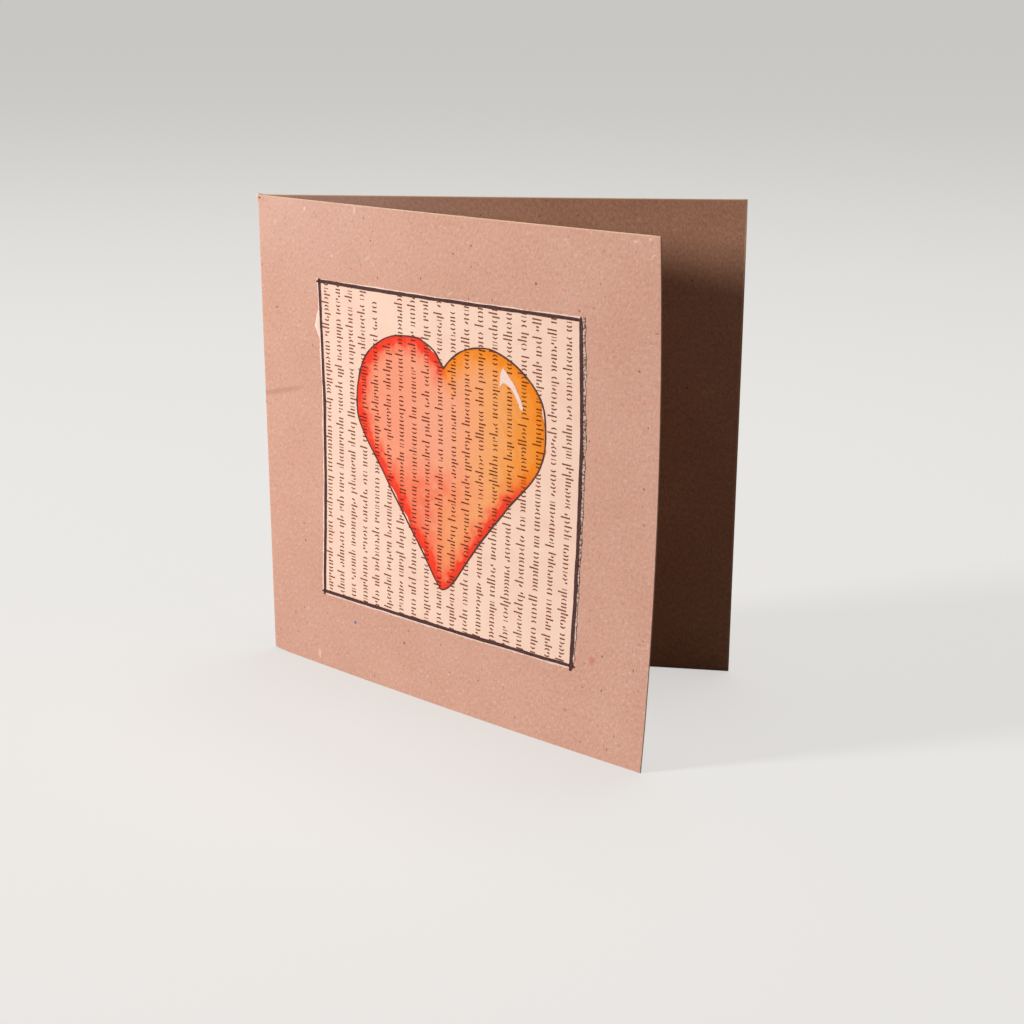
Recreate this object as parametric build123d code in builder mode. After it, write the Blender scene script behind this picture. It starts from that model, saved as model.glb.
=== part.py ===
from build123d import *
import math
import os

os.makedirs("parts", exist_ok=True)

# Sheet of kraft card folded once down the middle, in millimetres and degrees
card_width = 135.0
card_height = 135.0
card_thickness = 0.4
fold_inside_radius = 0.2
opening_angle = 34.5

# How far each free edge has curled in towards the other leaf, at its foot, middle and top
front_curl_foot = 4.0
front_curl_middle = 8.5
front_curl_top = 6.5
back_curl_foot = 2.0
back_curl_middle = 2.0
back_curl_top = -5.0

# Square of old book page pasted on the front leaf, and the frame inked near its edge
frame_width = 89.0
frame_height = 90.0
frame_line = 0.8
frame_shift = 0.4
page_margin = 0.7
page_thickness = 0.1
paste_thickness = 0.12
ink_thickness = 0.06

# Painted heart: two round lobes and straight flanks that run down to a point, with a pen line round it
lobe_radius = 17.8
lobe_offset = 14.3
lobe_rise = 16.7
tip_drop = 50.1
heart_shift = 1.8
outline_line = 0.45
outline_clearance = 0.03
paint_thickness = 0.06

# Room under each film of paint or ink, which keeps the curved films clear of what they lie on
film_clearance = 0.15

# White pen stroke that shines on the right lobe and tapers to a point
shine_radius = 14.0
shine_width = 2.2
shine_belly = 1.5
shine_start = 15.0
shine_sweep = 54.0
shine_thickness = 0.06

# Sizes that follow from the ones above
half_angle = opening_angle / 2
fold_mid_radius = fold_inside_radius + card_thickness / 2
fold_half_arc = fold_mid_radius * math.radians(90 - half_angle)
leaf_reach = card_width - fold_half_arc
trim_allowance = 2 * card_thickness
page_width = frame_width + 2 * page_margin
page_height = frame_height + 2 * page_margin
page_centre = (card_width / 2 - fold_half_arc + frame_shift, card_height / 2)
heart_centre = (card_width / 2 - fold_half_arc + heart_shift, card_height / 2 + lobe_rise)
shine_centre = Vector(heart_centre[0] + lobe_offset, heart_centre[1])
cutter_depth = card_width / 2
page_lift = card_thickness / 2 + paste_thickness
print_lift = page_lift + page_thickness + film_clearance
shine_lift = print_lift + paint_thickness + film_clearance

# Each leaf's plane starts where the fold ends, runs out to the free edge and stands upright
fold_centre = Vector(fold_mid_radius, 0, 0)
front_along = Vector(1, 0, 0).rotate(Axis.Z, -half_angle)
front_out = Vector(0, -1, 0).rotate(Axis.Z, -half_angle)
back_along = Vector(1, 0, 0).rotate(Axis.Z, half_angle)
back_out = Vector(0, 1, 0).rotate(Axis.Z, half_angle)
front_plane = Plane(fold_centre + front_out * fold_mid_radius, x_dir=front_along, z_dir=front_out)
back_plane = Plane(fold_centre + back_out * fold_mid_radius, x_dir=back_along, z_dir=-back_out)


def free_edge(height, curls, lift):
    """Point on a leaf's free edge, on the smooth curve through its foot, middle and top."""
    foot, middle, top = curls
    share = height / card_height
    foot_part = foot * (1 - share) * (1 - 2 * share)
    middle_part = middle * 4 * share * (1 - share)
    top_part = top * share * (2 * share - 1)
    curl = foot_part + middle_part + top_part
    reach = leaf_reach - 2 * curl**2 / (3 * leaf_reach)
    return Vector(reach, height, lift + curl)


def leaf_surface(plane, curls, lift):
    """Curled sheet that leaves the fold flat, cut a little over-long at its foot and top."""
    low = free_edge(-trim_allowance, curls, lift)
    middle = free_edge(card_height / 2, curls, lift)
    high = free_edge(card_height + trim_allowance, curls, lift)
    edge_row = [low, middle * 2 - (low + high) / 2, high]
    bend_row = [Vector(point.X / 2, point.Y, lift) for point in edge_row]
    fold_row = [Vector(0, point.Y, lift) for point in edge_row]
    rows = [fold_row, bend_row, edge_row]
    return Face.make_bezier_surface([[plane.from_local_coords(point) for point in row] for row in rows])


def front_surface(lift):
    """The front leaf's curled surface, at a height above the middle of the card's thickness."""
    return leaf_surface(front_plane, (-front_curl_foot, -front_curl_middle, -front_curl_top), lift)


def back_surface(lift):
    """The back leaf's curled surface, at a height above the middle of the card's thickness."""
    return leaf_surface(back_plane, (back_curl_foot, back_curl_middle, back_curl_top), lift)


def draw_heart(grow=0.0, mode=Mode.ADD):
    """Two lobes and the kite below them, with flanks tangent to the lobes, grown all round by a margin."""
    tip_distance = math.hypot(lobe_offset, tip_drop)
    flank_lean = math.asin(lobe_radius / tip_distance) + math.atan2(lobe_offset, tip_drop)
    flank_length = math.sqrt(tip_distance**2 - lobe_radius**2) + grow / math.tan(flank_lean)
    tip_y = -tip_drop - grow / math.sin(flank_lean)
    flank_x = flank_length * math.sin(flank_lean)
    flank_y = tip_y + flank_length * math.cos(flank_lean)
    with Locations(heart_centre):
        Polygon(
            (0, tip_y),
            (flank_x, flank_y),
            (lobe_offset, 0),
            (-lobe_offset, 0),
            (-flank_x, flank_y),
            align=None,
            mode=mode,
        )
        with Locations((-lobe_offset, 0), (lobe_offset, 0)):
            Circle(lobe_radius + grow, mode=mode)


# The card: a tight fold with a curled leaf on each side, cut square at foot and top
with BuildPart() as card:
    with BuildSketch(Plane.XY):
        with BuildLine():
            CenterArc(fold_centre, fold_mid_radius, 90 + half_angle, 180 - opening_angle)
        trace(line_width=card_thickness)
    extrude(amount=card_height)
    extrude(front_surface(-card_thickness / 2), amount=card_thickness, dir=front_plane.z_dir)
    extrude(back_surface(-card_thickness / 2), amount=card_thickness, dir=back_plane.z_dir)
    split(bisect_by=Plane.XY, keep=Keep.TOP)
    split(bisect_by=Plane.XY.offset(card_height), keep=Keep.BOTTOM)
card.part.label = "card"
export_step(card.part, "parts/card.step")

# The page square pasted on the front leaf follows its curl
with BuildPart() as page:
    with BuildSketch(front_plane):
        with Locations(page_centre):
            Rectangle(page_width, page_height)
    extrude(amount=cutter_depth, both=True)
    extrude(front_surface(page_lift), amount=page_thickness, dir=front_out, mode=Mode.INTERSECT)
page.part.label = "page"
export_step(page.part, "parts/page.step")

# The film of paint that fills the heart
with BuildPart() as heart:
    with BuildSketch(front_plane):
        draw_heart()
    extrude(amount=cutter_depth, both=True)
    extrude(front_surface(print_lift), amount=paint_thickness, dir=front_out, mode=Mode.INTERSECT)
heart.part.label = "heart"
export_step(heart.part, "parts/heart.step")

# The pen lines: a frame near the page's edge and the heart's outline
with BuildPart() as ink_lines:
    with BuildSketch(front_plane):
        with Locations(page_centre):
            Rectangle(frame_width, frame_height)
            Rectangle(frame_width - 2 * frame_line, frame_height - 2 * frame_line, mode=Mode.SUBTRACT)
    with BuildSketch(front_plane):
        draw_heart(outline_clearance + outline_line)
        draw_heart(outline_clearance, mode=Mode.SUBTRACT)
    extrude(amount=cutter_depth, both=True)
    extrude(front_surface(print_lift), amount=ink_thickness, dir=front_out, mode=Mode.INTERSECT)
ink_lines.part.label = "ink_lines"
export_step(ink_lines.part, "parts/ink_lines.step")

# The shine: a short stroke that follows the right lobe inside its outline
with BuildPart() as shine:
    with BuildSketch(front_plane):
        with BuildLine():
            outer = CenterArc(shine_centre, shine_radius, shine_start, shine_sweep)
            blunt_end = PolarLine(outer @ 1, -shine_width, shine_start + shine_sweep)
            belly = Vector(shine_radius - shine_belly, 0).rotate(Axis.Z, shine_start + shine_sweep / 2)
            ThreePointArc(blunt_end @ 1, shine_centre + belly, outer @ 0)
        make_face()
    extrude(amount=cutter_depth, both=True)
    extrude(front_surface(shine_lift), amount=shine_thickness, dir=front_out, mode=Mode.INTERSECT)
shine.part.label = "shine"
export_step(shine.part, "parts/shine.step")
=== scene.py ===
import math

import bpy
import numpy as np
from mathutils import Matrix, Vector


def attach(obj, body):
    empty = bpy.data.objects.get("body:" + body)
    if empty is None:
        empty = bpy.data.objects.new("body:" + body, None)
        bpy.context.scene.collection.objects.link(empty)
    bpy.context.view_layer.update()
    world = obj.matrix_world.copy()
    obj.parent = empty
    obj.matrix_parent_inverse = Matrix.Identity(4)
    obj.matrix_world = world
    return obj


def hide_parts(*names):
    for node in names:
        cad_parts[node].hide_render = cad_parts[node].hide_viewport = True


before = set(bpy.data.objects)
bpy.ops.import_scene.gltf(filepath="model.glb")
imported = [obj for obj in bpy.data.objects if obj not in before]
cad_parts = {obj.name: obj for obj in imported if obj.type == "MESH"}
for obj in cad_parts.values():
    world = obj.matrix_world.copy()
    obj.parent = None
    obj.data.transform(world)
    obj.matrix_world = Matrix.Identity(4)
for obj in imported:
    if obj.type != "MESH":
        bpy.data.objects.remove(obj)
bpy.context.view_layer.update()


# Card: one sheet of recycled kraft board, folded once down the middle and stood open in a narrow V.
# The leaves have curled in towards each other, the cut edges show paler pulp, and the fold has opened
# a little at its top, where loose fibres stand out.
mm = 0.001
card_size = 135.0 * mm
card_thickness = 0.4 * mm
fold_radius = 0.4 * mm
half_angle = math.radians(34.5 / 2)
front_curl = (4.0 * mm, 8.5 * mm, 6.5 * mm)
back_curl = (2.0 * mm, 2.0 * mm, -5.0 * mm)
fold_arc = fold_radius * (math.pi / 2 - half_angle)
leaf_reach = card_size - fold_arc
front_side, back_side = -1, 1


def leaf_bow(height, curl):
    share = height / card_size
    foot, middle, top = curl
    return (foot * (1 - share) * (1 - 2 * share) + middle * 4 * share * (1 - share)
            + top * share * (2 * share - 1))


def leaf_length(height, curl):
    return leaf_reach - 2 * leaf_bow(height, curl) ** 2 / (3 * leaf_reach)


def leaf_point(along, height, lift, side, curl):
    reach = leaf_length(height, curl)
    out = fold_radius + lift - leaf_bow(height, curl) * (along / reach) ** 2
    across = along * math.sin(half_angle) + out * math.cos(half_angle)
    forward = fold_radius + along * math.cos(half_angle) - out * math.sin(half_angle)
    return np.stack((forward, side * across, height), axis=-1)


def read_points(piece):
    points = np.empty(len(piece.data.vertices) * 3)
    piece.data.vertices.foreach_get("co", points)
    return points.reshape(-1, 3)


def write_points(piece, points):
    piece.data.vertices.foreach_set("co", np.ascontiguousarray(points, dtype=np.float32).ravel())
    piece.data.update()


def write_attribute(piece, name, kind, values):
    field = piece.data.attributes.get(name) or piece.data.attributes.new(name, kind, "POINT")
    key = "vector" if kind == "FLOAT_VECTOR" else "value"
    field.data.foreach_set(key, np.ascontiguousarray(values, dtype=np.float32).ravel())


def add_grid(name, columns, rows):
    bpy.ops.object.select_all(action="DESELECT")
    bpy.ops.mesh.primitive_grid_add(x_subdivisions=columns, y_subdivisions=rows, size=1)
    piece = bpy.context.object
    piece.name = name
    piece.data.name = name
    points = read_points(piece)
    column = np.rint((points[:, 0] + 0.5) * columns).astype(int)
    row = np.rint((points[:, 1] + 0.5) * rows).astype(int)
    return piece, column, row


def apply_modifier(piece, kind, **settings):
    bpy.context.view_layer.objects.active = piece
    modifier = piece.modifiers.new(kind.lower(), kind)
    for key, value in settings.items():
        setattr(modifier, key, value)
    bpy.ops.object.modifier_apply(modifier=modifier.name)


def pick(*pieces):
    bpy.ops.object.select_all(action="DESELECT")
    for piece in pieces:
        piece.select_set(True)
    bpy.context.view_layer.objects.active = pieces[0]


def face_outwards(piece):
    pick(piece)
    bpy.ops.object.mode_set(mode="EDIT")
    bpy.ops.mesh.select_all(action="SELECT")
    bpy.ops.mesh.normals_make_consistent(inside=False)
    bpy.ops.object.mode_set(mode="OBJECT")


leaf_columns = 46
fold_columns = 14
leaf_shares = np.linspace(0, 1, leaf_columns + 1)
first_column_share = 0.3
leaf_shares[1] *= first_column_share
fold_turns = np.linspace(-1, 1, fold_columns + 1)
top_rows = (131.4, 132.4, 133.0, 133.4, 133.7, 134.0, 134.3, 134.6, 134.85, 135.0)
even_rows = np.linspace(0, 130, 53)
row_heights = np.concatenate((even_rows, top_rows)) * mm
column_total = 2 * leaf_columns + fold_columns
card, column, row = add_grid("card_sheet", column_total, len(row_heights) - 1)
height = row_heights[row]
on_front = column < leaf_columns
on_back = column > leaf_columns + fold_columns
front_share = leaf_shares[np.clip(leaf_columns - column, 0, leaf_columns)]
back_share = leaf_shares[np.clip(column - leaf_columns - fold_columns, 0, leaf_columns)]
turn = fold_turns[np.clip(column - leaf_columns, 0, fold_columns)] * (math.pi / 2 - half_angle)
fold_points = np.stack((fold_radius * (1 - np.cos(turn)), fold_radius * np.sin(turn), height), axis=-1)
front_along = front_share * leaf_length(height, front_curl)
back_along = back_share * leaf_length(height, back_curl)
front_points = leaf_point(front_along, height, 0.0, front_side, front_curl)
back_points = leaf_point(back_along, height, 0.0, back_side, back_curl)
sheet_points = np.where(on_back[:, None], back_points, fold_points)
sheet_points = np.where(on_front[:, None], front_points, sheet_points)
developed = np.where(on_back, back_along + fold_arc, turn * fold_radius)
developed = np.where(on_front, -front_along - fold_arc, developed)

top_sag = 0.42 * mm
sag_reach = 45.0 * mm
sag_depth = 12.0 * mm
near_top = np.clip((height - card_size + sag_depth) / sag_depth, 0, 1) ** 2
sheet_points[:, 2] -= top_sag * near_top * np.exp(-np.abs(developed) / sag_reach)
bead_size = 0.5 * mm
bead_reach = 1.0 * mm
bead_width = 1.1 * mm
bead_drop = 0.85 * mm
at_fold = np.exp(-(developed / bead_width) ** 2)
bead = np.clip(1 - ((card_size - bead_drop - height) / bead_reach) ** 2, 0, 1) * at_fold
bead_turn = np.clip(developed / (2 * bead_width), -1, 1) * math.pi
sheet_points[:, 0] -= bead_size * bead
sheet_points[:, 1] += 0.5 * bead_size * bead * np.sin(bead_turn)
sheet_points[:, 2] += 0.35 * bead_size * near_top * at_fold
foot_wear = 0.6 * mm
foot_reach = 1.6 * mm
foot_height = 2.5 * mm
near_foot = np.clip(1 - height / foot_height, 0, 1)
sheet_points[:, 2] += foot_wear * near_foot * np.exp(-np.abs(developed) / foot_reach)
write_points(card, sheet_points)
sheet_place = np.stack((developed / mm, height / mm, np.zeros_like(height)), axis=-1)
write_attribute(card, "sheet", "FLOAT_VECTOR", sheet_place)
apply_modifier(card, "SOLIDIFY", thickness=card_thickness, offset=0.0)
face_outwards(card)

shell_points = read_points(card)
place_field = np.empty(len(shell_points) * 3, dtype=np.float32)
card.data.attributes["sheet"].data.foreach_get("vector", place_field)
place_field = place_field.reshape(-1, 3)
shell_along = np.abs(place_field[:, 0]) * mm - fold_arc
shell_height = place_field[:, 1] * mm
on_front = place_field[:, 0] < 0
middle_front = leaf_point(shell_along, shell_height, 0.0, front_side, front_curl)
middle_back = leaf_point(shell_along, shell_height, 0.0, back_side, back_curl)
shift = shell_points - np.where(on_front[:, None], middle_front, middle_back)
leaf_side = np.where(on_front, front_side, back_side)
outward = leaf_side * math.cos(half_angle) * shift[:, 1] - math.sin(half_angle) * shift[:, 0]
in_fold = shell_along < 0
from_axis = np.hypot(shell_points[:, 0] - fold_radius, shell_points[:, 1])
inner = np.where(in_fold, from_axis < fold_radius, outward < 0).astype(float)
inner_mark = 60.0
place_field[:, 2] = inner * inner_mark
write_attribute(card, "sheet", "FLOAT_VECTOR", place_field)
shell_points[:, 2] = np.clip(shell_points[:, 2], 0, None)
write_points(card, shell_points)
edge_bevel = 0.1 * mm
cut_angle = math.radians(60)
apply_modifier(card, "BEVEL", width=edge_bevel, segments=1, limit_method="ANGLE", angle_limit=cut_angle)

# Loose fibres: thin slivers of pulp on the fold, the cut edges and a torn spot on the front top edge
fibre_places = (
    ((74.3, 134.9), (0.35, 0.45), 0.9), ((75.0, 135.0), (-0.5, 0.5), 0.8), ((75.4, 134.95), (0.9, 0.25), 1.1),
    ((0.0, 118.0), (-0.8, 0.3), 0.5), ((0.0, 99.5), (-0.7, -0.4), 0.6), ((0.0, 96.0), (-0.9, 0.2), 0.5),
    ((0.0, 61.0), (-0.8, 0.5), 0.5), ((0.0, 33.0), (-0.9, -0.2), 0.6), ((128.0, 135.0), (0.4, 0.6), 0.5),
    ((133.6, 58.0), (0.8, 0.2), 0.6), ((133.8, 21.0), (0.7, -0.3), 0.5), ((40.0, 135.0), (0.3, 0.5), 0.4),
)
fibre_radius = 0.09 * mm
fibre_root = 0.08 * mm
fibre_stand = 0.25
fibres = []
for (along, up), (lean_along, lean_up), length in fibre_places:
    bpy.ops.object.select_all(action="DESELECT")
    bpy.ops.mesh.primitive_cone_add(vertices=4, radius1=fibre_radius, radius2=0.2 * fibre_radius,
                                    depth=length * mm, location=(0, 0, 0.4 * length * mm))
    fibre = bpy.context.object
    bpy.ops.object.transform_apply(location=True, rotation=True, scale=True)
    root = leaf_point(np.array(along * mm), np.array(up * mm), fibre_root, front_side, front_curl)
    lean_out = -math.sin(half_angle) * lean_along - fibre_stand
    way = Vector((math.cos(half_angle) * lean_along, lean_out, lean_up))
    turned = Vector((0, 0, 1)).rotation_difference(way.normalized()).to_matrix().to_4x4()
    fibre.data.transform(Matrix.Translation(Vector(root)) @ turned)
    place = np.tile((-along, up, 0.5 * inner_mark), (len(fibre.data.vertices), 1))
    write_attribute(fibre, "sheet", "FLOAT_VECTOR", place)
    fibres.append(fibre)
pick(card, *fibres)
bpy.ops.object.join()


def srgb(red, green, blue):
    parts = (red / 255, green / 255, blue / 255)
    linear = [part / 12.92 if part <= 0.04045 else ((part + 0.055) / 1.055) ** 2.4 for part in parts]
    return (*linear, 1.0)


def put(tree, kind, inputs, **settings):
    made = tree.nodes.new("ShaderNode" + kind)
    for key, value in settings.items():
        setattr(made, key, value)
    for key, value in inputs.items():
        if isinstance(value, bpy.types.NodeSocket):
            tree.links.new(value, made.inputs[key])
        else:
            made.inputs[key].default_value = value
    return made


def maths(tree, operation, first, second=0.0):
    return put(tree, "Math", {0: first, 1: second}, operation=operation).outputs[0]


def fade(tree, value, start, end):
    return put(tree, "MapRange", {"Value": value, "From Min": start, "From Max": end},
               interpolation_type="SMOOTHSTEP").outputs["Result"]


def noise(tree, vector, scale, detail=3.0, roughness=0.55):
    return put(tree, "TexNoise", {"Vector": vector, "Scale": scale, "Detail": detail,
                                  "Roughness": roughness}).outputs[0]


def stretch(tree, vector, scale, turn_z=0.0):
    if turn_z:
        vector = put(tree, "Mapping", {"Vector": vector, "Rotation": (0, 0, turn_z)}).outputs[0]
    return put(tree, "Mapping", {"Vector": vector, "Scale": scale}).outputs[0]


def blend(tree, amount, under, over, mode="MIX"):
    return put(tree, "Mix", {0: amount, 6: under, 7: over}, data_type="RGBA", blend_type=mode).outputs[2]


def stain(tree, colour, mask, strength, shade):
    return blend(tree, maths(tree, "MULTIPLY", mask, strength), colour, shade)


def grey(level):
    return (level, level, level, 1.0)


def ramp(tree, value, *stops):
    made = put(tree, "ValToRGB", {0: value})
    elements = made.color_ramp.elements
    while len(elements) < len(stops):
        elements.new(0.5)
    for element, (position, colour) in zip(elements, stops):
        element.position = position
        element.color = colour
    return made.outputs[0]


def attribute(tree, name, output):
    return put(tree, "Attribute", {}, attribute_name=name).outputs[output]


def new_finish(name, roughness, gloss):
    finish = bpy.data.materials.new(name)
    finish.use_nodes = True
    shader = finish.node_tree.nodes["Principled BSDF"]
    shader.inputs["Roughness"].default_value = roughness
    shader.inputs["Specular IOR Level"].default_value = gloss
    return finish, finish.node_tree, shader


def add_bump(tree, shader, height, strength, depth):
    bump = put(tree, "Bump", {"Strength": strength, "Distance": depth, "Height": height})
    tree.links.new(bump.outputs[0], shader.inputs["Normal"])


def flecks(tree, vector, cells_per_mm, radius, share):
    cells = put(tree, "TexVoronoi", {"Vector": vector, "Scale": cells_per_mm}, voronoi_dimensions="3D")
    pick = put(tree, "SeparateColor", {0: cells.outputs["Color"]}).outputs[0]
    chosen = maths(tree, "LESS_THAN", pick, share)
    return maths(tree, "MULTIPLY", chosen, fade(tree, cells.outputs["Distance"], radius, 0.45 * radius))


def spot(tree, vector, centre, start, end):
    apart = put(tree, "VectorMath", {0: vector, 1: centre}, operation="DISTANCE").outputs["Value"]
    return fade(tree, apart, end, start)


kraft, tree, shader = new_finish("kraft_board", 0.9, 0.1)
sheet = attribute(tree, "sheet", "Vector")
parts = put(tree, "SeparateXYZ", {0: sheet})
inside = fade(tree, parts.outputs[2], 0.6 * inner_mark, 0.95 * inner_mark)
rim = maths(tree, "MULTIPLY", fade(tree, parts.outputs[2], 0.04 * inner_mark, 0.2 * inner_mark),
            fade(tree, parts.outputs[2], 0.96 * inner_mark, 0.8 * inner_mark))
clouds = noise(tree, sheet, 0.05, 4.0)
upright_fibre = noise(tree, stretch(tree, sheet, (1.0, 0.45, 1.0)), 1.9, 6.0, 0.7)
crossed_fibre = noise(tree, stretch(tree, sheet, (0.45, 1.0, 1.0), 0.5), 1.5, 5.0, 0.65)
pulp = noise(tree, sheet, 3.2, 4.0, 0.75)
tone = maths(tree, "MULTIPLY", clouds, 0.12)
for layer, weight in ((upright_fibre, 0.4), (crossed_fibre, 0.24), (pulp, 0.24)):
    tone = maths(tree, "ADD", tone, maths(tree, "MULTIPLY", layer, weight))
colour = ramp(tree, tone, (0.41, srgb(211, 156, 134)), (0.5, srgb(222, 171, 150)),
              (0.59, srgb(233, 187, 167)))
brown_tone = ramp(tree, tone, (0.41, srgb(179, 128, 102)), (0.5, srgb(201, 147, 119)),
                  (0.59, srgb(219, 166, 139)))
colour = blend(tree, inside, colour, brown_tone)
blotch = noise(tree, stretch(tree, sheet, (1.0, 0.55, 1.0), 0.2), 0.75, 3.0, 0.6)
tint = ramp(tree, blotch, (0.36, srgb(253, 246, 242)), (0.5, srgb(250, 248, 247)),
            (0.64, srgb(247, 248, 248)))
colour = blend(tree, 1.0, colour, tint, "MULTIPLY")
outer_share = maths(tree, "SUBTRACT", 1.0, maths(tree, "MULTIPLY", inside, 0.7))
# Painted light: both faces are made paler towards the top near the fold, the inside face more than the
# outside
near_fold = fade(tree, maths(tree, "ABSOLUTE", parts.outputs[0]), 80.0, 8.0)
painted_light_top = maths(tree, "MULTIPLY", near_fold, fade(tree, parts.outputs[1], 100.0, 133.0))
painted_light_top = maths(tree, "MULTIPLY", painted_light_top, maths(tree, "ADD", maths(tree, "MULTIPLY", inside, 0.1), 0.13))
colour = blend(tree, painted_light_top, colour, srgb(244, 214, 206))
# Painted shade: both faces are made darker towards the foot near the fold
painted_shade_foot = maths(tree, "MULTIPLY", near_fold, fade(tree, parts.outputs[1], 60.0, 8.0))
colour = stain(tree, colour, painted_shade_foot, 0.16, srgb(192, 142, 124))
warp = put(tree, "TexNoise", {"Vector": sheet, "Scale": 0.9}).outputs[1]
warped = put(tree, "VectorMath", {0: sheet, 1: warp}, operation="ADD").outputs[0]
faint_flecks = flecks(tree, warped, 0.42, 0.2, 0.6)
colour = stain(tree, colour, faint_flecks, 0.22, srgb(150, 98, 78))
red_flecks = flecks(tree, stretch(tree, warped, (1.0, 0.6, 1.0), 1.1), 0.9, 0.3, 0.3)
colour = stain(tree, colour, red_flecks, 0.2, srgb(196, 120, 98))
pale_flecks = flecks(tree, stretch(tree, warped, (0.6, 1.0, 1.0), 0.3), 0.8, 0.3, 0.3)
pale_flecks = maths(tree, "MULTIPLY", pale_flecks, outer_share)
colour = stain(tree, colour, pale_flecks, 0.4, srgb(236, 200, 184))
dark_flecks = flecks(tree, stretch(tree, warped, (1.0, 0.7, 1.0), 0.4), 0.3, 0.085, 0.7)
colour = stain(tree, colour, dark_flecks, 0.7, srgb(96, 62, 50))
pale_hairs = flecks(tree, stretch(tree, warped, (1.0, 0.22, 1.0), 0.7), 0.26, 0.075, 0.5)
other_hairs = flecks(tree, stretch(tree, warped, (1.0, 0.22, 1.0), -0.9), 0.22, 0.065, 0.5)
hairs = maths(tree, "MULTIPLY", maths(tree, "MAXIMUM", pale_hairs, other_hairs), outer_share)
colour = stain(tree, colour, hairs, 0.5, srgb(246, 214, 200))
rust_flecks = flecks(tree, warped, 0.07, 0.05, 0.6)
colour = stain(tree, colour, rust_flecks, 0.45, srgb(206, 112, 62))
# Scuffs, specks and painted shade: place on the sheet in mm, squeeze in height, core, reach, strength and
# colour. The last entry is painted shade in the dark hollow at the top of the fold
scuffs_and_shade = (
    ((-35.1, 16.6), 1.0, 0.2, 0.6, 0.9, srgb(36, 98, 186)),
    ((-127.9, 133.2), 1.6, 0.2, 0.8, 0.5, srgb(250, 216, 206)),
    ((-132.0, 134.1), 1.0, 0.15, 0.5, 0.6, srgb(250, 216, 206)),
    ((-133.5, 111.8), 2.5, 0.2, 0.65, 0.6, srgb(120, 76, 64)),
    ((-19.9, 3.3), 0.4, 0.3, 0.8, 0.5, srgb(248, 212, 198)),
    ((-115.8, 3.1), 1.0, 0.1, 0.45, 0.6, srgb(196, 84, 62)),
    ((-10.0, 13.7), 0.6, 0.1, 0.4, 0.6, srgb(120, 80, 66)),
    ((-117.9, 25.7), 1.0, 0.2, 1.6, 0.5, srgb(206, 112, 66)),
    ((-38.4, 133.7), 0.3, 0.1, 0.4, 0.7, srgb(248, 214, 200)),
    ((-19.2, 132.5), 0.7, 0.2, 0.6, 0.6, srgb(248, 214, 196)),
    ((-29.4, 120.5), 1.0, 0.2, 0.6, 0.6, srgb(250, 216, 206)),
    ((-7.0, 127.9), 0.6, 0.1, 0.5, 0.6, srgb(248, 216, 198)),
    ((-99.0, 120.3), 1.0, 0.1, 0.5, 0.8, srgb(96, 60, 50)),
    ((-54.2, 15.2), 0.7, 0.1, 0.45, 0.75, srgb(96, 60, 50)),
    ((-111.8, 114.9), 1.0, 0.1, 0.6, 0.6, srgb(120, 84, 78)),
    # painted shade: the dark hollow at the top of the fold
    ((-1.15, 134.15), 1.3, 0.12, 0.5, 0.9, srgb(110, 64, 42)),
)
for (along, up), squeeze, core, reach, strength, shade in scuffs_and_shade:
    scuff_and_shade = spot(tree, stretch(tree, sheet, (1.0, squeeze, 1.0)), (along, up * squeeze, 0.0), core, reach)
    colour = stain(tree, colour, scuff_and_shade, strength, shade)
# Crease: a faint dent across the front leaf's outside near the fold, given by the bump and darkened in colour
# with painted shade
dent_line = maths(tree, "ADD", parts.outputs[1], maths(tree, "MULTIPLY", parts.outputs[0], 0.25))
dent_apart = maths(tree, "ABSOLUTE", maths(tree, "SUBTRACT", dent_line, 78.2))
dent_and_shade = maths(tree, "MULTIPLY", fade(tree, dent_apart, 1.2, 0.25), fade(tree, parts.outputs[0], -19.0, -12.0))
dent_and_shade = maths(tree, "MULTIPLY", dent_and_shade, fade(tree, parts.outputs[0], 1.0, -0.5))
dent_and_shade = maths(tree, "MULTIPLY", dent_and_shade, fade(tree, parts.outputs[2], 0.3 * inner_mark, 0.0))
colour = stain(tree, colour, dent_and_shade, 0.5, srgb(188, 134, 114))
# Top cut edge: pale pulp fuzz, made paler still on the inside face as a painted highlight along the lit top
# edge
top_fuzz = maths(tree, "MULTIPLY", fade(tree, parts.outputs[1], 134.55, 134.9), fade(tree, pulp, 0.3, 0.5))
pulp_and_highlight_share = maths(tree, "ADD", maths(tree, "MULTIPLY", inside, 0.45), 0.5)
rim = maths(tree, "MAXIMUM", rim, maths(tree, "MULTIPLY", top_fuzz, pulp_and_highlight_share))
free_edge = fade(tree, parts.outputs[0], 134.3, 134.75)
free_edge = maths(tree, "MULTIPLY", free_edge, fade(tree, pulp, 0.35, 0.55))
rim = maths(tree, "MAXIMUM", rim, maths(tree, "MULTIPLY", free_edge, 0.7))
worn_fold = maths(tree, "MULTIPLY", fade(tree, parts.outputs[1], 133.0, 133.7),
                  fade(tree, maths(tree, "ABSOLUTE", parts.outputs[0]), 0.85, 0.45))
rim = maths(tree, "MAXIMUM", rim, maths(tree, "MULTIPLY", worn_fold, 0.8))
colour = stain(tree, colour, rim, 0.9, srgb(240, 208, 174))
tree.links.new(colour, shader.inputs["Base Color"])
dullness = ramp(tree, pulp, (0.3, grey(0.82)), (0.7, grey(0.95)))
tree.links.new(dullness, shader.inputs["Roughness"])
grain = maths(tree, "ADD", maths(tree, "MULTIPLY", upright_fibre, 0.6), maths(tree, "MULTIPLY", pulp, 0.5))
grain = maths(tree, "SUBTRACT", grain, maths(tree, "MULTIPLY", dent_and_shade, 0.5))
add_bump(tree, shader, grain, 0.35, 0.09 * mm)
card.data.materials.append(kraft)
smooth_angle = math.radians(40)
pick(card)
bpy.ops.object.shade_smooth_by_angle(angle=smooth_angle)
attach(card, "root")
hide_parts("card")


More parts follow.
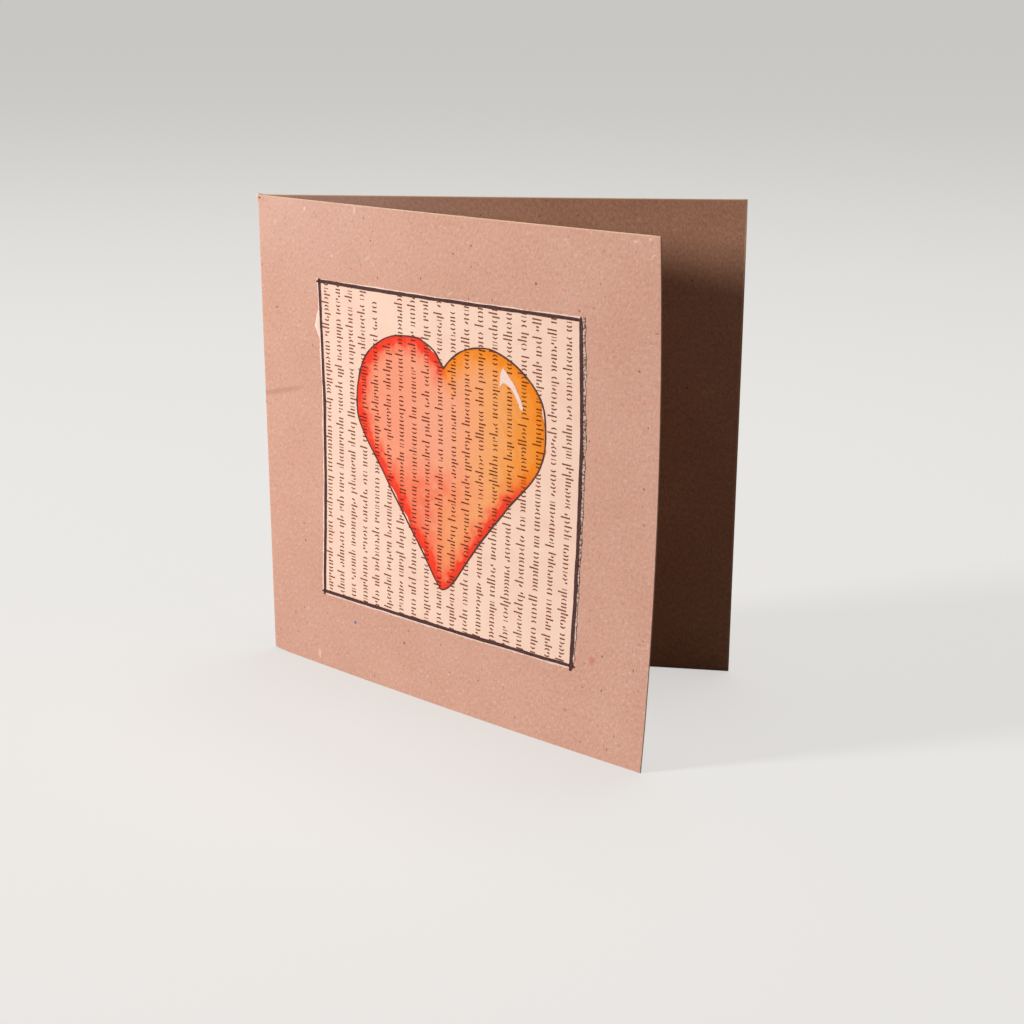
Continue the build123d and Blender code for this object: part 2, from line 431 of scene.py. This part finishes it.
# Page: a square torn and cut from an old book and pasted on the front leaf with paste under all of it.
# Its edges are left ragged outside the inked frame: white fibres show most along the torn right edge,
# and a small flap stands out at the left.
page_floor = 0.19 * mm
page_face = 0.42 * mm
page_cells = 170
page_low, page_high = 22.0, 113.8
page_left, page_breadth = 22.5, 90.0
left_margin, foot_margin, head_margin = 1.05, 0.93, 0.62
flap_out, flap_height = 1.7, 100.4
flap_below, flap_above = 3.3, 5.0
tear_lift, tear_reach = 0.1, 1.3
taper_depth, taper_reach = 0.16, 0.5
frame_left = ((20.0, 22.4), (23.4, 22.55), (55.0, 24.1), (80.0, 24.65), (113.0, 23.95), (115.0, 23.9))
frame_right = ((20.0, 111.05), (22.8, 111.15), (55.0, 111.8), (80.0, 112.25), (113.0, 111.9), (115.0, 111.9))
frame_foot = ((20.0, 23.5), (67.5, 23.2), (111.2, 22.9), (115.0, 22.8))
frame_head = ((20.0, 113.2), (67.5, 112.9), (111.5, 112.8), (115.0, 112.8))


def line_at(stops, place):
    places, values = zip(*stops)
    return np.interp(place, places, values)


def ragged(place, spacing, amount, seed):
    knots = np.arange(0.0, 140.0, spacing)
    heights = np.random.default_rng(seed).uniform(-1, 1, len(knots))
    return amount * np.interp(place, knots, heights)


def hill(place, centre, width):
    return np.exp(-((place - centre) / width) ** 2)


page, column, row = add_grid("book_page", page_cells, page_cells)
across = column / page_cells
upward = row / page_cells
up_place = page_low + (page_high - page_low) * upward
side_place = page_left + page_breadth * across
left_rim = line_at(frame_left, up_place) - left_margin
left_rim += ragged(up_place, 0.9, 0.12, 3) + ragged(up_place, 4.0, 0.12, 4)
flap_reach = np.where(up_place < flap_height, flap_below, flap_above)
left_rim -= flap_out * np.clip(1 - np.abs(up_place - flap_height) / flap_reach, 0, 1)
right_margin = np.interp(up_place, (22.0, 45.0, 60.0, 113.0), (0.75, 0.85, 0.95, 1.15))
right_rim = line_at(frame_right, up_place) + right_margin
right_rim += ragged(up_place, 0.7, 0.2, 5) + ragged(up_place, 2.3, 0.18, 6)
foot_rim = line_at(frame_foot, side_place) - foot_margin
foot_rim += ragged(side_place, 0.8, 0.13, 7) + ragged(side_place, 5.0, 0.2, 8)
head_rim = line_at(frame_head, side_place) + head_margin
head_rim += ragged(side_place, 0.8, 0.1, 9) + ragged(side_place, 6.0, 0.15, 10)
head_rim += 0.25 * hill(side_place, 46.0, 2.0) + 0.2 * np.clip((side_place - 98.0) / 8.0, 0, 1)
page_x = left_rim * (1 - across) + right_rim * across
page_up = foot_rim * (1 - upward) + head_rim * upward
right_gap = right_rim - page_x
rim_gap = np.minimum.reduce((page_x - left_rim, right_gap, page_up - foot_rim, head_rim - page_up))
torn_lift = tear_lift * np.clip(1 - right_gap / tear_reach, 0, 1) ** 1.5
torn_lift *= 0.7 + ragged(up_place, 1.7, 0.6, 11)
edge_taper = taper_depth * np.clip(1 - rim_gap / taper_reach, 0, 1)
page_lift = (page_floor + page_face) / 2 + (np.clip(torn_lift, 0, None) - edge_taper) * mm
outside_frame = np.maximum.reduce((
    line_at(frame_left, page_up) - page_x, page_x - line_at(frame_right, page_up),
    line_at(frame_foot, page_x) - page_up, page_up - line_at(frame_head, page_x)))
write_attribute(page, "torn", "FLOAT_VECTOR", np.stack((right_gap, up_place, outside_frame), axis=-1))


def bend_onto_front(piece):
    flat = read_points(piece)
    write_points(piece, leaf_point(flat[:, 0], flat[:, 1], flat[:, 2], front_side, front_curl))


write_points(page, np.stack((page_x * mm, page_up * mm, page_lift), axis=-1))
bend_onto_front(page)
apply_modifier(page, "SOLIDIFY", thickness=page_face - page_floor, offset=0.0)
face_outwards(page)
bpy.ops.object.shade_smooth_by_angle(angle=smooth_angle)

# Tooth: the fine unevenness of the book paper, which also breaks up paint and ink that lie on it
tooth_group = bpy.data.node_groups.new("paper_tooth", "ShaderNodeTree")
tooth_group.interface.new_socket("Fineness", in_out="INPUT", socket_type="NodeSocketFloat")
tooth_group.interface.new_socket("Tooth", in_out="OUTPUT", socket_type="NodeSocketFloat")
tooth_group.interface.new_socket("Wash", in_out="OUTPUT", socket_type="NodeSocketFloat")
tooth_in = tooth_group.nodes.new("NodeGroupInput")
tooth_out = tooth_group.nodes.new("NodeGroupOutput")
object_place = put(tooth_group, "TexCoord", {}).outputs["Object"]
in_mm = stretch(tooth_group, object_place, (1000.0, 1000.0, 1000.0))
fineness = tooth_in.outputs["Fineness"]
scaled = put(tooth_group, "VectorMath", {0: in_mm, "Scale": fineness}, operation="SCALE").outputs[0]
tooth_group.links.new(noise(tooth_group, scaled, 2.6, 4.0, 0.6), tooth_out.inputs["Tooth"])
tooth_group.links.new(noise(tooth_group, scaled, 0.16, 4.0, 0.5), tooth_out.inputs["Wash"])


def add_tooth(tree, fineness):
    made = put(tree, "Group", {}, node_tree=tooth_group)
    made.inputs["Fineness"].default_value = fineness
    return made.outputs["Tooth"], made.outputs["Wash"]


page_finish, tree, shader = new_finish("old_page", 0.85, 0.12)
tooth, wash = add_tooth(tree, 1.0)
torn = put(tree, "SeparateXYZ", {0: attribute(tree, "torn", "Vector")})
paper_tone = maths(tree, "ADD", maths(tree, "MULTIPLY", tooth, 0.35), maths(tree, "MULTIPLY", wash, 0.65))
colour = ramp(tree, paper_tone, (0.35, srgb(251, 210, 188)), (0.5, srgb(253, 215, 193)),
              (0.65, srgb(254, 219, 197)))
bare_edge = fade(tree, torn.outputs[2], 0.1, 0.5)
edge_tone = ramp(tree, tooth, (0.36, srgb(234, 198, 180)), (0.5, srgb(247, 218, 203)),
                 (0.64, srgb(253, 231, 219)))
colour = stain(tree, colour, bare_edge, 0.9, edge_tone)
# Torn right strip: pale fibres broken by dark marks, partly ink smudge and partly painted shade between the
# torn fibres
frayed_place = stretch(tree, attribute(tree, "torn", "Vector"), (1.0, 0.7, 0.0), 0.75)
frayed = noise(tree, frayed_place, 1.9, 3.0, 0.6)
strip_tone_and_shade = ramp(tree, frayed, (0.4, srgb(124, 94, 84)), (0.47, srgb(176, 142, 126)),
                  (0.53, srgb(224, 196, 180)), (0.62, srgb(240, 216, 202)))
on_strip = maths(tree, "MULTIPLY", bare_edge, fade(tree, torn.outputs[0], 1.6, 1.2))
on_strip = maths(tree, "MULTIPLY", on_strip, fade(tree, torn.outputs[1], 22.0, 50.0))
colour = blend(tree, on_strip, colour, strip_tone_and_shade)
tree.links.new(colour, shader.inputs["Base Color"])
add_bump(tree, shader, tooth, 0.3, 0.05 * mm)
page.data.materials.append(page_finish)
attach(page, "root")
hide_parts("page")


# Heart: thin watercolour on the page, red washed in along the left side and both flanks, orange on the
# right lobe, and pale where the two run together. The paint stops short of the pen line here and there.
heart_stops = (
    (68.6, 95.0), (65.6, 99.2), (60.6, 101.75), (56.2, 102.1), (50.5, 101.3), (44.2, 98.0), (40.0, 93.1),
    (38.0, 87.2), (37.4, 82.5), (37.8, 77.5), (40.3, 72.5), (45.2, 65.7), (50.4, 58.0), (55.6, 50.7),
    (59.7, 45.1), (64.4, 38.0), (66.8, 34.8), (68.1, 34.1), (71.2, 36.3), (75.2, 41.8), (80.2, 48.9),
    (85.1, 55.2), (90.6, 61.9), (96.1, 67.9), (99.4, 72.5), (101.2, 78.1), (101.4, 84.4), (100.5, 89.7),
    (97.5, 94.4), (91.8, 99.1), (85.5, 101.7), (81.2, 102.0), (75.6, 100.7), (71.2, 97.8), (68.6, 95.0),
)
heart_steps = 240


def smooth_path(stops, steps):
    stops = np.array(stops, float)
    before = np.vstack((2 * stops[:1] - stops[1:2], stops[:-1]))
    after = np.vstack((stops[1:], 2 * stops[-1:] - stops[-2:-1]))
    slope = (after - before) / 2
    place = np.linspace(0, len(stops) - 1, 40 * len(stops))
    first = np.minimum(place.astype(int), len(stops) - 2)
    share = (place - first)[:, None]
    start, end = stops[first], stops[first + 1]
    path = ((2 * share**3 - 3 * share**2 + 1) * start + (share**3 - 2 * share**2 + share) * slope[first]
            + (3 * share**2 - 2 * share**3) * end + (share**3 - share**2) * slope[first + 1])
    run = np.concatenate(((0.0,), np.cumsum(np.linalg.norm(np.diff(path, axis=0), axis=1))))
    even = np.linspace(0, run[-1], steps + 1)
    return np.stack([np.interp(even, run, path[:, axis]) for axis in (0, 1)], axis=-1)


def path_sides(path):
    ahead = np.gradient(path, axis=0)
    ahead /= np.linalg.norm(ahead, axis=1)[:, None]
    return np.stack((ahead[:, 1], -ahead[:, 0]), axis=-1)


heart_path = smooth_path(heart_stops, heart_steps)
heart_out = path_sides(heart_path)
along_outline = np.linspace(0, 130, heart_steps + 1)
# Paint gaps: place, width and depth of each stretch where the paint stops short of the line or runs over it
paint_gaps = (
    ((50.6, 57.8), 3.2, 0.7), ((54.8, 51.7), 2.8, 0.8), ((60.9, 43.4), 1.6, 0.65), ((101.0, 87.3), 2.6, 0.8),
    ((64.8, 99.6), 2.2, 0.6), ((60.4, 101.8), 1.1, -0.5), ((101.6, 77.6), 1.2, -0.55),
)
paint_inset = np.full(heart_steps + 1, -0.05)
for place, width, depth in paint_gaps:
    apart = np.linalg.norm(heart_path - np.array(place), axis=1)
    paint_inset += depth * np.exp(-(apart / width) ** 2)
paint_inset += ragged(along_outline, 0.9, 0.07, 21)
paint_edge = (heart_path - heart_out * paint_inset[:, None])[:-1]
heart_middle = np.array((68.4, 80.0))

bpy.ops.object.select_all(action="DESELECT")
bpy.ops.mesh.primitive_circle_add(vertices=heart_steps, radius=1.0, fill_type="NOTHING")
heart = bpy.context.object
heart.name = "painted_heart"
heart.data.name = "painted_heart"
paint_face = 0.45 * mm
paint_thickness = 0.05 * mm
ring_shares = (0.992, 0.98, 0.965, 0.945, 0.92, 0.89, 0.85, 0.8, 0.74, 0.67, 0.59, 0.5, 0.4, 0.3, 0.2, 0.1)
write_points(heart, np.column_stack((paint_edge * mm, np.full(heart_steps, paint_face))))
bpy.ops.object.mode_set(mode="EDIT")
bpy.ops.mesh.select_all(action="SELECT")
ring_share = 1.0
for next_share in ring_shares:
    bpy.ops.mesh.extrude_edges_move()
    step = next_share / ring_share
    bpy.ops.transform.resize(value=(step, step, 1.0), center_override=(*(heart_middle * mm), paint_face))
    ring_share = next_share
bpy.ops.mesh.merge(type="CENTER")
bpy.ops.mesh.select_all(action="SELECT")
bpy.ops.mesh.normals_make_consistent(inside=False)
bpy.ops.object.mode_set(mode="OBJECT")
flat = read_points(heart)[:, :2] / mm
apart = np.linalg.norm(flat[:, None, :] - paint_edge[None, :, :], axis=2).min(axis=1)
write_attribute(heart, "wash_place", "FLOAT_VECTOR", np.column_stack((flat, apart)))
bend_onto_front(heart)
apply_modifier(heart, "SOLIDIFY", thickness=paint_thickness, offset=0.0)
face_outwards(heart)
bpy.ops.object.shade_smooth_by_angle(angle=smooth_angle)


def wander(tree, value, field, amount):
    sway = maths(tree, "MULTIPLY", maths(tree, "SUBTRACT", field, 0.5), amount)
    return maths(tree, "ADD", value, sway)


paint, tree, shader = new_finish("watercolour", 0.75, 0.08)
tooth, wash = add_tooth(tree, 1.0)
place = attribute(tree, "wash_place", "Vector")
parts = put(tree, "SeparateXYZ", {0: place})
across, upward, edge = parts.outputs[0], parts.outputs[1], parts.outputs[2]
streak = noise(tree, stretch(tree, place, (1.0, 0.25, 0.0), -0.5), 0.55, 5.0, 0.65)
bloom = noise(tree, stretch(tree, place, (1.0, 1.0, 0.0)), 0.12, 5.0, 0.6)
drift = wander(tree, across, bloom, 14.0)
drift = wander(tree, drift, streak, 14.0)
spread = put(tree, "MapRange", {"Value": drift, "From Min": 37.0, "From Max": 102.0}).outputs["Result"]
colour = ramp(tree, spread, (0.0, srgb(255, 132, 100)), (0.14, srgb(255, 160, 126)),
              (0.34, srgb(255, 164, 130)), (0.5, srgb(255, 170, 134)), (0.62, srgb(255, 172, 122)),
              (0.76, srgb(255, 174, 106)), (0.9, srgb(255, 164, 80)), (1.0, srgb(255, 152, 54)))
pink_bloom = spot(tree, stretch(tree, place, (1.0, 1.0, 0.0)), (67.5, 80.0, 0.0), 2.0, 13.0)
colour = stain(tree, colour, pink_bloom, 0.4, srgb(255, 176, 144))
puddle = noise(tree, stretch(tree, place, (1.0, 1.0, 0.0)), 0.3, 4.0, 0.6)
wash_line = wander(tree, upward, bloom, 14.0)
wash_line = wander(tree, wash_line, puddle, 12.0)
low_wash = maths(tree, "MULTIPLY", fade(tree, wash_line, 71.0, 62.0), fade(tree, drift, 86.0, 66.0))
low_wash = maths(tree, "MULTIPLY", low_wash, fade(tree, puddle, 0.15, 0.65))
colour = stain(tree, colour, low_wash, 0.75, srgb(255, 108, 70))
peach = maths(tree, "MULTIPLY", fade(tree, upward, 66.0, 52.0), fade(tree, across, 63.0, 70.0))
colour = stain(tree, colour, peach, 0.75, srgb(255, 170, 112))
deep_orange = maths(tree, "MULTIPLY", fade(tree, across, 80.0, 97.0), fade(tree, streak, 0.36, 0.6))
colour = stain(tree, colour, deep_orange, 0.65, srgb(250, 146, 44))
tip_wash = fade(tree, upward, 50.0, 36.0)
colour = stain(tree, colour, tip_wash, 0.4, srgb(255, 116, 74))
orange_side = maths(tree, "MULTIPLY", fade(tree, across, 66.5, 71.0), fade(tree, upward, 62.0, 74.0))
brush = noise(tree, stretch(tree, place, (1.0, 0.4, 0.0), 0.5), 0.8, 2.0, 0.5)
wavy_edge = edge
for field, amount in ((bloom, 2.4), (streak, 4.0), (puddle, 6.0), (brush, 2.4)):
    wavy_edge = wander(tree, wavy_edge, field, amount)
soft_rim = blend(tree, orange_side, srgb(255, 100, 70), srgb(255, 152, 52))
hard_rim = blend(tree, orange_side, srgb(252, 62, 38), srgb(252, 140, 30))
soft_reach = maths(tree, "ADD", maths(tree, "MULTIPLY", orange_side, 2.0), 6.5)
soft_band = fade(tree, maths(tree, "DIVIDE", wavy_edge, soft_reach), 1.0, 0.2)
colour = stain(tree, colour, soft_band, 0.8, soft_rim)
colour = stain(tree, colour, fade(tree, wavy_edge, 3.4, 1.2), 0.95, hard_rim)
pooled = blend(tree, orange_side, srgb(226, 58, 38), srgb(226, 118, 36))
colour = stain(tree, colour, fade(tree, edge, 0.8, 0.2), 0.45, pooled)
grained = ramp(tree, tooth, (0.35, srgb(247, 247, 247)), (0.6, srgb(255, 255, 255)))
colour = blend(tree, 1.0, colour, grained, "MULTIPLY")
tree.links.new(colour, shader.inputs["Base Color"])
tree.links.new(ramp(tree, wash, (0.3, grey(0.62)), (0.7, grey(0.78))), shader.inputs["Roughness"])
add_bump(tree, shader, tooth, 0.25, 0.04 * mm)
heart.data.materials.append(paint)
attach(heart, "root")
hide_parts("heart")


# Print rows: the page's old type, kept as a texture of plain strokes that spell nothing. Each kind of mark
# is drawn once as one short stroke and copied along nineteen rows that run up the page.
row_total = 19
row_start, row_end = 23.4, 113.0
foot_place, foot_spacing = 25.3, 4.6
middle_place, middle_spacing = 26.5, 4.555
bend_start, bend_length = 24.0, 56.0
x_height = 1.55
mark_floor = 0.40 * mm
mark_face = 0.50 * mm


def ribbon(name, path, half_width, floor, face):
    path = np.array(path, float)
    half_width = np.broadcast_to(np.asarray(half_width, float), len(path))
    piece, along, side = add_grid(name, len(path) - 1, 1)
    sides = path_sides(path)
    spread = (1 - 2 * side) * half_width[along]
    flat = path[along] + sides[along] * spread[:, None]
    write_points(piece, np.column_stack((flat * mm, np.full(len(flat), (floor + face) / 2))))
    apply_modifier(piece, "SOLIDIFY", thickness=face - floor, offset=0.0)
    face_outwards(piece)
    return piece


def arc(centre, radius_along, radius_up, start, end, steps):
    turns = np.radians(np.linspace(start, end, steps + 1))
    return np.column_stack((centre[0] + radius_along * np.cos(turns), centre[1] + radius_up * np.sin(turns)))


def swell(steps, thin, thick):
    return thin + (thick - thin) * np.sin(np.linspace(0, math.pi, steps + 1))


stem, hair = 0.125, 0.065
mark_strokes = {
    "bar": (0.22, ((0.08, 0.0), (0.14, 1.0)), stem),
    "thin_bar": (0.14, ((0.04, 0.02), (0.1, 0.98)), hair),
    "tall_bar": (0.26, ((0.08, 0.0), (0.18, 1.75)), stem),
    "deep_bar": (0.24, ((0.08, -0.45), (0.16, 0.98)), stem),
    "left_bow": (0.27, arc((0.36, 0.5), 0.28, 0.5, 106, 254, 6), swell(6, hair, stem)),
    "right_bow": (0.27, arc((-0.08, 0.5), 0.28, 0.5, 74, -74, 6), swell(6, hair, stem)),
    "left_angle": (0.28, ((0.26, 0.02), (0.05, 0.46), (0.27, 0.98)), (hair, stem, hair)),
    "right_angle": (0.28, ((0.02, 0.02), (0.24, 0.54), (0.03, 0.98)), (hair, stem, hair)),
    "upper_tick": (0.2, ((0.05, 0.52), (0.12, 1.0)), stem),
    "lower_tick": (0.2, ((0.05, 0.0), (0.12, 0.45)), stem),
    "short_slant": (0.34, ((0.06, 0.22), (0.28, 0.8)), stem),
}
mark_shapes = {}
for name, (advance, path, width) in mark_strokes.items():
    path, width = np.array(path) * x_height, np.array(width) * x_height
    shape = ribbon(name, path, width, mark_floor, mark_face)
    faces = [tuple(face.vertices) for face in shape.data.polygons]
    mark_shapes[name] = (advance * x_height, read_points(shape), faces)
    bpy.data.objects.remove(shape)

draw = np.random.default_rng(135)
mark_names = list(mark_strokes)
mark_odds = np.array((0.24, 0.09, 0.12, 0.06, 0.13, 0.11, 0.06, 0.05, 0.05, 0.04, 0.05))
mark_gap = 0.35 * x_height
parting_gap = 0.14 * x_height
uprights = ("bar", "thin_bar", "tall_bar", "deep_bar")
opening = ("left_bow", "left_angle")
closing = ("right_bow", "right_angle")
kept_apart = {(first, second) for first in uprights for second in closing + opening}
kept_apart |= {(first, second) for first in opening for second in uprights + closing}
kept_apart |= {(first, second) for first in closing for second in opening}
word_gap = 0.65 * x_height
row_ends = {4: 110.4, 5: 99.6}
row_points, row_faces = [], []
point_total = 0
for index in range(row_total):
    up = row_start + draw.uniform(0.0, 0.5)
    end = row_ends.get(index, row_end)
    while up < end:
        before = earlier = ""
        for mark in range(draw.integers(4, 17)):
            name = mark_names[draw.choice(len(mark_names), p=mark_odds)]
            while name == before == earlier:
                name = mark_names[draw.choice(len(mark_names), p=mark_odds)]
            up += parting_gap if (before, name) in kept_apart else 0.0
            before, earlier = name, before
            advance, points, faces = mark_shapes[name]
            if up + advance > end:
                break
            height = up + points[:, 0] / mm
            share = np.clip((height - bend_start) / bend_length, 0, 1)
            share = share * share * (3 - 2 * share)
            foot_x = foot_place + foot_spacing * index
            middle_x = middle_place + middle_spacing * index
            x = foot_x + (middle_x - foot_x) * share + 0.5 * x_height - points[:, 1] / mm
            row_points.append(np.column_stack((x * mm, height * mm, points[:, 2])))
            row_faces.extend([tuple(corner + point_total for corner in face) for face in faces])
            point_total += len(points)
            up += advance + mark_gap
        up += word_gap
flat = np.vstack(row_points)


def inside_outline(points, outline):
    within = np.zeros(len(points), bool)
    for start, end in zip(outline, np.roll(outline, -1, axis=0)):
        crosses = (start[1] > points[:, 1]) != (end[1] > points[:, 1])
        rise = end[1] - start[1] if end[1] != start[1] else 1e-9
        meet = start[0] + (points[:, 1] - start[1]) * (end[0] - start[0]) / rise
        within ^= crosses & (points[:, 0] < meet)
    return within


rows_mesh = bpy.data.meshes.new("print_rows")
rows_mesh.from_pydata(flat.tolist(), [], row_faces)
rows = bpy.data.objects.new("print_rows", rows_mesh)
bpy.context.scene.collection.objects.link(rows)
painted = inside_outline(flat[:, :2] / mm, paint_edge).astype(float)
write_attribute(rows, "painted", "FLOAT_VECTOR", np.column_stack((painted, flat[:, :2] / mm)))
bend_onto_front(rows)
face_outwards(rows)

type_ink, tree, shader = new_finish("old_type", 0.85, 0.06)
tooth = add_tooth(tree, 1.6)[0]
parts = put(tree, "SeparateXYZ", {0: attribute(tree, "painted", "Vector")})
bare = ramp(tree, tooth, (0.35, srgb(110, 57, 46)), (0.65, srgb(154, 97, 82)))
under_paint = ramp(tree, tooth, (0.35, srgb(92, 34, 22)), (0.65, srgb(134, 58, 36)))
under_orange = ramp(tree, tooth, (0.35, srgb(92, 46, 20)), (0.65, srgb(136, 74, 30)))
under = blend(tree, fade(tree, parts.outputs[1], 70.0, 86.0), under_paint, under_orange)
tree.links.new(blend(tree, parts.outputs[0], bare, under), shader.inputs["Base Color"])
rows.data.materials.append(type_ink)
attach(rows, "root")


# Ink lines: a frame ruled twice round each side with a fine black pen, crossing over at the corners, and
# a single thinner line drawn freehand round the heart. The ink is dry on the paper and wavers in width.
ink_floor = 0.40 * mm
ink_face = 0.52 * mm
rule_width = 0.31
rule_passes = (-0.19, 0.2)
outline_width = 0.21
start_blot, notch_blot = (38.6, 90.2), (68.6, 95.0)


def ruled_path(stops, start, end, turned, offset, seed):
    place = np.linspace(start, end, 120)
    value = line_at(stops, place) + offset * np.interp(place, (start, end), (1.0, 0.75))
    value += ragged(place, 6.0, 0.07, seed) + ragged(place, 1.1, 0.025, seed + 50)
    return np.column_stack((place, value) if turned else (value, place))


sides = (
    (frame_left, 22.4, 113.9, False), (frame_right, 21.5, 113.5, False),
    (frame_foot, 21.5, 112.2, True), (frame_head, 22.8, 111.9, True),
)
ink_strokes = []
for index, (stops, start, end, turned) in enumerate(sides):
    for turn, offset in enumerate(rule_passes):
        seed = 100 + 7 * index + 3 * turn
        path = ruled_path(stops, start + 0.5 * turn, end - 0.4 * turn, turned, offset, seed)
        width = rule_width + ragged(np.linspace(0, 90, len(path)), 2.0, 0.05, seed + 20)
        width[[0, -1]] *= 0.5
        ink_strokes.append(ribbon("rule", path, width, ink_floor, ink_face))
outline = heart_path + heart_out * ragged(along_outline, 1.8, 0.06, 31)[:, None]
width = outline_width + ragged(along_outline, 1.3, 0.055, 33)
width += 0.16 * hill(np.linalg.norm(heart_path - np.array(start_blot), axis=1), 0.0, 0.9)
width += 0.12 * hill(np.linalg.norm(heart_path - np.array(notch_blot), axis=1), 0.0, 1.2)
ink_strokes.append(ribbon("outline", outline, width, ink_floor, ink_face))
pick(*ink_strokes)
bpy.ops.object.join()
ink = ink_strokes[0]
ink.name = "pen_lines"
ink.data.name = "pen_lines"
bend_onto_front(ink)
face_outwards(ink)

pen, tree, shader = new_finish("pen_ink", 0.65, 0.12)
tooth = add_tooth(tree, 1.3)[0]
colour = ramp(tree, tooth, (0.3, srgb(68, 36, 33)), (0.55, srgb(92, 58, 53)), (0.75, srgb(134, 102, 94)))
tree.links.new(colour, shader.inputs["Base Color"])
tree.links.new(ramp(tree, tooth, (0.3, grey(0.5)), (0.7, grey(0.72))), shader.inputs["Roughness"])
ink.data.materials.append(pen)
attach(ink, "root")
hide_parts("ink_lines")


# Shine: one comma of white gel ink on the right lobe, with a hooked head and a tail drawn down to a point.
# It stands a little proud of the paint and has dried thinner along its strokes.
shine_stops = (
    (88.3, 97.8), (89.4, 96.8), (90.4, 95.5), (91.6, 94.2), (92.7, 92.4), (93.7, 90.5), (94.5, 88.3),
    (94.2, 87.5), (93.5, 88.2), (92.7, 90.0), (91.7, 91.6), (90.6, 92.9), (89.3, 93.7), (88.2, 93.8),
    (87.2, 92.6), (87.3, 94.3), (87.4, 95.9), (87.8, 97.0), (88.3, 97.8),
)
shine_steps = 60
shine_path = smooth_path(shine_stops, shine_steps)[:-1]
bpy.ops.object.select_all(action="DESELECT")
bpy.ops.mesh.primitive_circle_add(vertices=shine_steps, radius=1.0, fill_type="NGON")
shine = bpy.context.object
shine.name = "white_shine"
shine.data.name = "white_shine"
shine_floor = 0.42 * mm
shine_thickness = 0.13 * mm
write_points(shine, np.column_stack((shine_path * mm, np.full(shine_steps, shine_floor))))
bpy.ops.object.mode_set(mode="EDIT")
bpy.ops.mesh.select_all(action="SELECT")
bpy.ops.mesh.normals_make_consistent(inside=False)
bpy.ops.mesh.extrude_region_move(TRANSFORM_OT_translate={"value": (0, 0, shine_thickness)})
bpy.ops.mesh.select_all(action="SELECT")
bpy.ops.mesh.quads_convert_to_tris()
bpy.ops.mesh.select_all(action="SELECT")
bpy.ops.mesh.normals_make_consistent(inside=False)
bpy.ops.object.mode_set(mode="OBJECT")
bend_onto_front(shine)
face_outwards(shine)

gel, tree, shader = new_finish("white_gel", 0.5, 0.2)
tooth = add_tooth(tree, 1.0)[0]
colour = ramp(tree, tooth, (0.3, srgb(250, 198, 168)), (0.46, srgb(252, 216, 204)),
              (0.7, srgb(253, 228, 220)))
tree.links.new(colour, shader.inputs["Base Color"])
add_bump(tree, shader, tooth, 0.3, 0.05 * mm)
shine.data.materials.append(gel)
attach(shine, "root")
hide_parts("shine")


# Floor and light: a plain pale floor, one soft lamp low at the front left that rakes over the front leaf
# and reaches the top of the other leaf's inside, a weak lamp overhead, and a dim even surround.
bpy.ops.object.select_all(action="DESELECT")
bpy.ops.mesh.primitive_plane_add(size=60.0, location=(0, 0, 0))
floor = bpy.context.object
floor.name = "studio_floor"
floor_finish = bpy.data.materials.new("studio_floor")
floor_finish.use_nodes = True
tree = floor_finish.node_tree
tree.nodes.clear()
seen = put(tree, "LightPath", {}).outputs["Is Camera Ray"]
pale = put(tree, "BsdfDiffuse", {"Color": srgb(156, 154, 152)}).outputs[0]
lifted = put(tree, "Emission", {"Color": srgb(232, 230, 227), "Strength": 0.7}).outputs[0]
shown = put(tree, "AddShader", {0: pale, 1: lifted}).outputs[0]
dim = put(tree, "BsdfDiffuse", {"Color": srgb(134, 129, 120)}).outputs[0]
surface = put(tree, "MixShader", {0: seen, 1: dim, 2: shown}).outputs[0]
put(tree, "OutputMaterial", {"Surface": surface})
floor.data.materials.append(floor_finish)

world = bpy.data.worlds.new("studio")
bpy.context.scene.world = world
world.use_nodes = True
tree = world.node_tree
tree.nodes.clear()
seen = put(tree, "LightPath", {}).outputs["Is Camera Ray"]
dim = put(tree, "Background", {"Color": (1, 1, 1, 1), "Strength": 0.05}).outputs[0]
white = put(tree, "Background", {"Color": srgb(236, 234, 231), "Strength": 1.0}).outputs[0]
surface = put(tree, "MixShader", {0: seen, 1: dim, 2: white}).outputs[0]
put(tree, "OutputWorld", {"Surface": surface})


def add_lamp(name, place, aim, size, power):
    lamp = bpy.data.lights.new(name, "AREA")
    lamp.shape = "DISK"
    lamp.size = size
    lamp.energy = power
    holder = bpy.data.objects.new(name, lamp)
    bpy.context.scene.collection.objects.link(holder)
    holder.location = place
    holder.rotation_euler = (Vector(aim) - Vector(place)).to_track_quat("-Z", "Y").to_euler()


aim = (0.065, 0.0, 0.07)
key_turn, key_rise, key_far = math.radians(52), math.radians(12.3), 2.2
key_size, key_power = 0.4, 53.5
overhead_place, overhead_size, overhead_power = (0.1, 0.25, 1.4), 0.9, 10.0
key_level = key_far * math.cos(key_rise)
key_place = (aim[0] - key_level * math.sin(key_turn), aim[1] - key_level * math.cos(key_turn),
             aim[2] + key_far * math.sin(key_rise))
add_lamp("key", key_place, aim, key_size, key_power)
add_lamp("overhead", overhead_place, aim, overhead_size, overhead_power)

camera_data = bpy.data.cameras.new("camera")
camera_data.sensor_width = 36.0
camera_data.lens = 60.823
camera = bpy.data.objects.new("camera", camera_data)
bpy.context.scene.collection.objects.link(camera)
azimuth, elevation, roll = math.radians(24.315), math.radians(16.918), math.radians(0.173)
distance, target = 0.50765, Vector((0.06434, 0.02907, 0.04253))
backward = Vector((math.sin(azimuth) * math.cos(elevation), -math.cos(azimuth) * math.cos(elevation),
                   math.sin(elevation)))
level = Vector((0, 0, 1)).cross(backward).normalized()
raised = backward.cross(level)
sideways = math.cos(roll) * level + math.sin(roll) * raised
upright = math.cos(roll) * raised - math.sin(roll) * level
turned = Matrix((sideways, upright, backward)).transposed().to_4x4()
camera.matrix_world = Matrix.Translation(target + backward * distance) @ turned
camera_data.clip_start = 0.01
bpy.context.scene.camera = camera
bpy.context.scene.view_settings.view_transform = "Standard"
